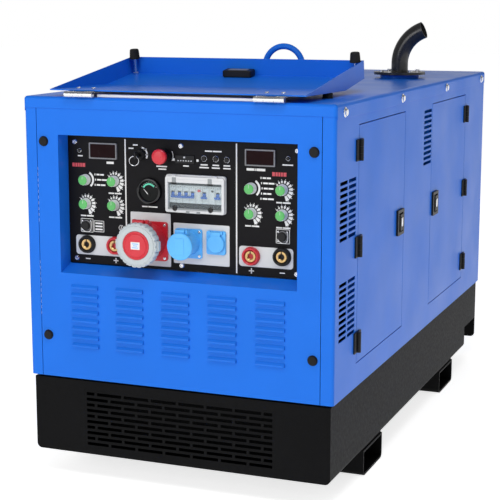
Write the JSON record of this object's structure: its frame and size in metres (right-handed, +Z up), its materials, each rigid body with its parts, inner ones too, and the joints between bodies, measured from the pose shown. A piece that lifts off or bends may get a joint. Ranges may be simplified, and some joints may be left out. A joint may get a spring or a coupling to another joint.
{
  "type": "engine driven welder",
  "caption": "Silenced engine driven welding generator: blue canopy on a black skid with fork pockets, recessed control panel under a hinged front cover, side doors, lifting eye and exhaust.",
  "frame": {"origin": "on the floor, under the middle of the machine's overall box", "axes": "+Z up, the control panel faces -Y, the side with the doors is +X"},
  "size_m": [0.87, 1.7275, 1.1986],
  "materials": {
    "canopy_paint": "glossy blue powder coat",
    "base_paint": "matt black textured powder coat",
    "panel_paint": "matt black printed control plate",
    "bright_zinc": "bright plated steel",
    "black_steel": "satin black heat-proof paint",
    "black_rubber": "moulded rubber",
    "black_plastic": "glass filled nylon",
    "grey_plastic": "light grey moulding",
    "dark_glass": "dark display window in a grey bezel",
    "lamp_plastic": "small smoked lamp lens",
    "socket_plastic": "black or red insulating collar with a brass bore",
    "red_plastic": "red moulding",
    "blue_plastic": "blue moulding",
    "clear_plastic": "clear window in a grey rim",
    "green_knob": "light grey knob with a green cap",
    "key_metal": "nickel plated",
    "cast_iron": "painted casting",
    "generator_paint": "satin grey",
    "shaft_steel": "machined steel",
    "radiator_metal": "dark finned core",
    "tank_plastic": "black polyethylene"
  },
  "bodies": {
    "canopy": {"base_frame": "base_paint", "inlet_grille": "base_paint", "fork_pockets": "base_paint", "right_side_panel": "canopy_paint", "left_side_panel": "canopy_paint", "front_panel": "canopy_paint", "rear_panel": "canopy_paint", "roof": "canopy_paint", "lifting_eye": "canopy_paint", "exhaust_pipe": "black_steel", "fasteners": "bright_zinc", "rubber_stops": "black_rubber", "cover_hinge_frames": "bright_zinc", "door_hinge_frames": "black_plastic", "control_panel": "panel_paint", "panel_meters": "dark_glass", "indicator_lamps": "lamp_plastic", "welding_sockets": "socket_plastic", "remote_connectors": "black_plastic", "three_phase_socket": "red_plastic", "single_phase_socket": "blue_plastic", "domestic_socket": "blue_plastic", "breaker_frame": "grey_plastic", "breakers": "grey_plastic", "emergency_stop_base": "black_plastic", "ignition_switch": "black_plastic", "engine_block": "cast_iron", "generator_housing": "generator_paint", "radiator": "radiator_metal", "muffler": "black_steel", "fuel_tank": "tank_plastic", "battery": "black_plastic"},
    "cover": {"cover": "canopy_paint", "cover_handle": "black_plastic", "cover_bumpers": "black_rubber", "cover_hinge_leaves": "bright_zinc"},
    "front_door": {"door_front": "canopy_paint", "door_front_fittings": "black_plastic"},
    "front_door_handle": {"door_front_latch": "bright_zinc"},
    "rear_door": {"door_rear": "canopy_paint", "door_rear_fittings": "black_plastic"},
    "rear_door_handle": {"door_rear_latch": "bright_zinc"},
    "three_phase_cap": {"three_phase_cap": "red_plastic"},
    "single_phase_lid": {"single_phase_lid": "blue_plastic"},
    "domestic_lid": {"domestic_socket_lid": "blue_plastic"},
    "breaker_window": {"breaker_window": "clear_plastic"},
    "main_toggle": {"main_breaker_toggle": "blue_plastic"},
    "left_toggle": {"left_breaker_toggle": "blue_plastic"},
    "right_toggle": {"right_breaker_toggle": "blue_plastic"},
    "emergency_button": {"emergency_stop_button": "red_plastic"},
    "key": {"ignition_key": "key_metal"},
    "drive_shaft": {"drive_shaft": "shaft_steel"},
    "left_process_selector": {"left_process_selector": "green_knob"},
    "left_current_knob": {"left_current_knob": "green_knob"},
    "left_arc_force_knob": {"left_arc_force_knob": "green_knob"},
    "left_hot_start_knob": {"left_hot_start_knob": "green_knob"},
    "right_process_selector": {"right_process_selector": "green_knob"},
    "right_current_knob": {"right_current_knob": "green_knob"},
    "right_arc_force_knob": {"right_arc_force_knob": "green_knob"},
    "right_hot_start_knob": {"right_hot_start_knob": "green_knob"}
  },
  "joints": [
    {"name": "cover_hinge", "type": "hinge", "parent": "canopy", "child": "cover", "pos_m": [0, -0.8312, 1.0296], "axis": [-1, 0, 0], "range_deg": [-258.8, 0]},
    {"name": "front_door_hinge", "type": "hinge", "parent": "canopy", "child": "front_door", "pos_m": [0.4315, -0.63225, 0.65], "axis": [0, 0, -1], "range_deg": [0, 115]},
    {"name": "rear_door_hinge", "type": "hinge", "parent": "canopy", "child": "rear_door", "pos_m": [0.4315, 0.57025, 0.65], "axis": [0, 0, 1], "range_deg": [0, 115]},
    {"name": "front_latch", "type": "hinge", "parent": "front_door", "child": "front_door_handle", "pos_m": [0.43, -0.2355, 0.674], "axis": [0, -1, 0], "range_deg": [0, 40]},
    {"name": "rear_latch", "type": "hinge", "parent": "rear_door", "child": "rear_door_handle", "pos_m": [0.43, 0.1665, 0.674], "axis": [0, -1, 0], "range_deg": [0, 40]},
    {"name": "three_phase_cap_hinge", "type": "hinge", "parent": "canopy", "child": "three_phase_cap", "pos_m": [-0.091, -0.829, 0.7135], "axis": [-1, 0, 0], "range_deg": [0, 105]},
    {"name": "single_phase_lid_hinge", "type": "hinge", "parent": "canopy", "child": "single_phase_lid", "pos_m": [0.018, -0.818, 0.693], "axis": [-1, 0, 0], "range_deg": [0, 105], "stiffness_Nm_per_rad": 0.05, "springref_deg": -34.38},
    {"name": "domestic_lid_hinge", "type": "hinge", "parent": "canopy", "child": "domestic_lid", "pos_m": [0.094, -0.778, 0.6865], "axis": [-1, 0, 0], "range_deg": [0, 100], "stiffness_Nm_per_rad": 0.02, "springref_deg": -34.38},
    {"name": "breaker_window_hinge", "type": "hinge", "parent": "canopy", "child": "breaker_window", "pos_m": [0.039, -0.7795, 0.826], "axis": [-1, 0, 0], "range_deg": [0, 110]},
    {"name": "main_toggle_tilt", "type": "hinge", "parent": "canopy", "child": "main_toggle", "pos_m": [0.003, -0.768, 0.781], "axis": [-1, 0, 0], "range_deg": [0, 80]},
    {"name": "left_toggle_tilt", "type": "hinge", "parent": "canopy", "child": "left_toggle", "pos_m": [0.062, -0.768, 0.781], "axis": [-1, 0, 0], "range_deg": [0, 80]},
    {"name": "right_toggle_tilt", "type": "hinge", "parent": "canopy", "child": "right_toggle", "pos_m": [0.099, -0.768, 0.781], "axis": [-1, 0, 0], "range_deg": [0, 80]},
    {"name": "emergency_press", "type": "slide", "parent": "canopy", "child": "emergency_button", "axis": [0, 1, 0], "range_m": [0, 0.005], "stiffness_N_per_m": 600},
    {"name": "key_turn", "type": "hinge", "parent": "canopy", "child": "key", "pos_m": [-0.117, -0.778, 0.876], "axis": [0, 1, 0], "range_deg": [0, 90]},
    {"name": "left_process_selector_turn", "type": "hinge", "parent": "canopy", "child": "left_process_selector", "pos_m": [-0.277, -0.778, 0.804], "axis": [0, 1, 0], "range_deg": [0, 60]},
    {"name": "left_current_knob_turn", "type": "hinge", "parent": "canopy", "child": "left_current_knob", "pos_m": [-0.194, -0.778, 0.804], "axis": [0, 1, 0], "range_deg": [0, 280]},
    {"name": "left_arc_force_knob_turn", "type": "hinge", "parent": "canopy", "child": "left_arc_force_knob", "pos_m": [-0.277, -0.778, 0.741], "axis": [0, 1, 0], "range_deg": [0, 280]},
    {"name": "left_hot_start_knob_turn", "type": "hinge", "parent": "canopy", "child": "left_hot_start_knob", "pos_m": [-0.194, -0.778, 0.741], "axis": [0, 1, 0], "range_deg": [0, 280]},
    {"name": "right_process_selector_turn", "type": "hinge", "parent": "canopy", "child": "right_process_selector", "pos_m": [0.188, -0.778, 0.804], "axis": [0, 1, 0], "range_deg": [0, 120]},
    {"name": "right_current_knob_turn", "type": "hinge", "parent": "canopy", "child": "right_current_knob", "pos_m": [0.271, -0.778, 0.804], "axis": [0, 1, 0], "range_deg": [0, 280]},
    {"name": "right_arc_force_knob_turn", "type": "hinge", "parent": "canopy", "child": "right_arc_force_knob", "pos_m": [0.188, -0.778, 0.741], "axis": [0, 1, 0], "range_deg": [0, 280]},
    {"name": "right_hot_start_knob_turn", "type": "hinge", "parent": "canopy", "child": "right_hot_start_knob", "pos_m": [0.271, -0.778, 0.741], "axis": [0, 1, 0], "range_deg": [0, 280]},
    {"name": "crankshaft_spin", "type": "hinge", "parent": "canopy", "child": "drive_shaft", "pos_m": [0, 0, 0.56], "axis": [0, 1, 0], "continuous": true}
  ]
}
